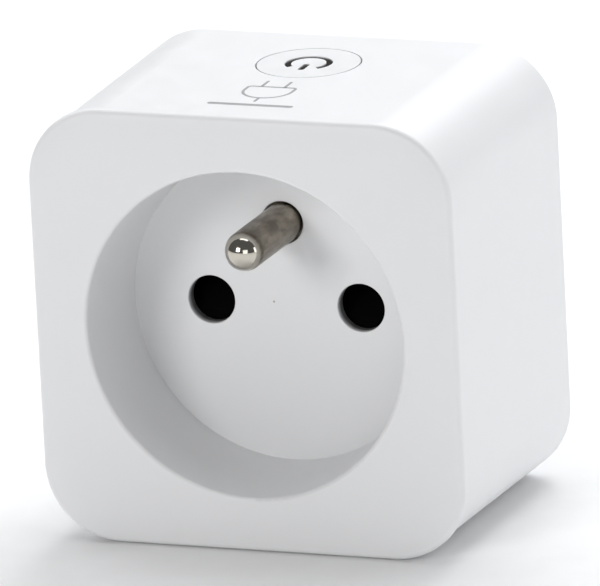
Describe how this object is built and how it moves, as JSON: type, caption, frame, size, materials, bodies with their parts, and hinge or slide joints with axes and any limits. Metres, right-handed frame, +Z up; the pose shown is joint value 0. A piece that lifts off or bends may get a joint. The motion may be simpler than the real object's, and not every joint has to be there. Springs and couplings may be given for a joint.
{
  "type": "smart plug",
  "caption": "Square plug-in adaptor: French-type earth-pin socket in a round front recess, press button on top, two-pin earthed plug boss behind.",
  "frame": {"origin": "where the plug's axis meets the back wall's outer face, the plane that lies on a wall outlet", "axes": "+Y along the plug pins, into the wall outlet, so the socket faces -Y; +Z up, with the button in the top and both earth contacts above the live pins"},
  "size_m": [0.0534, 0.074, 0.0534],
  "materials": {
    "housing": "fine satin moulded",
    "button": "fine satin moulded",
    "smoked_guide": "smoked translucent",
    "carrier_plastic": "moulded",
    "black_plastic": "moulded",
    "pin_metal": "nickel plated, drawn",
    "brass": "stamped",
    "spring_steel": "drawn wire",
    "screw_steel": "zinc plated",
    "circuit_board": "solder mask",
    "wifi_circuit_board": "solder mask",
    "shield_metal": "tinned",
    "led_lens": "translucent",
    "relay_plastic": "moulded",
    "coil_copper": "enamelled winding",
    "iron": "plated",
    "can_sleeve": "printed sleeve",
    "film_box": "moulded box",
    "ferrite": "sintered",
    "varistor_coat": "epoxy coat",
    "resistor_coat": "flameproof coat",
    "chip_plastic": "moulded",
    "shunt_metal": "alloy strip"
  },
  "bodies": {
    "housing": {"front_cover": "housing", "socket_floor": "housing", "body_shell": "housing", "rear_cover": "housing", "plug_boss": "housing", "pin_plate": "housing", "cover_screws": "screw_steel", "line_pin": "pin_metal", "neutral_pin": "pin_metal", "socket_earth_pin": "pin_metal", "earth_strap": "brass", "earth_band": "pin_metal", "plug_earth_sleeve": "brass", "contact_carrier": "carrier_plastic", "line_contact": "brass", "neutral_contact": "brass", "shutter_spring": "spring_steel", "switch_base": "black_plastic", "switch_frame": "shield_metal", "switch_dome": "spring_steel", "status_led": "led_lens", "control_board": "circuit_board", "wifi_board": "wifi_circuit_board", "wifi_shield": "shield_metal", "board_header": "black_plastic", "power_board": "circuit_board", "relay_base": "black_plastic", "relay_case": "relay_plastic", "relay_coil": "coil_copper", "relay_core": "iron", "relay_yoke": "iron", "relay_fixed_contact": "brass", "supply_capacitor": "can_sleeve", "output_capacitor": "can_sleeve", "film_capacitor": "film_box", "filter_choke": "ferrite", "varistor": "varistor_coat", "fuse_resistor": "resistor_coat", "bridge_rectifier": "chip_plastic", "supply_chip": "chip_plastic", "metering_chip": "chip_plastic", "shunt_resistor": "shunt_metal"},
    "button": {"button_cap": "button", "button_light_guide": "smoked_guide"},
    "switch_plunger": {"switch_plunger": "black_plastic"},
    "shutter": {"safety_shutter": "black_plastic"},
    "relay_armature": {"relay_armature": "iron", "relay_moving_contact": "brass"}
  },
  "joints": [
    {"name": "button_press", "type": "slide", "parent": "housing", "child": "button", "axis": [0, 0, -1], "range_m": [0, 0.0004], "stiffness_N_per_m": 1500, "springref_m": -0.0003},
    {"name": "plunger_press", "type": "slide", "parent": "housing", "child": "switch_plunger", "axis": [0, 0, -1], "range_m": [0, 0.0004]},
    {"name": "shutter_slide", "type": "slide", "parent": "housing", "child": "shutter", "axis": [0, 0, -1], "range_m": [0, 0.0058], "stiffness_N_per_m": 80, "springref_m": -0.003, "deforming": ["shutter_spring"]},
    {"name": "armature_pull", "type": "hinge", "parent": "housing", "child": "relay_armature", "pos_m": [-0.0076, -0.0163, -0.0184], "axis": [0, 0, 1], "range_deg": [0, 3.4], "stiffness_Nm_per_rad": 0.02, "springref_deg": -8.59}
  ],
  "couplings": [
    {"joint": "plunger_press", "follows": "button_press", "ratio": 1}
  ]
}
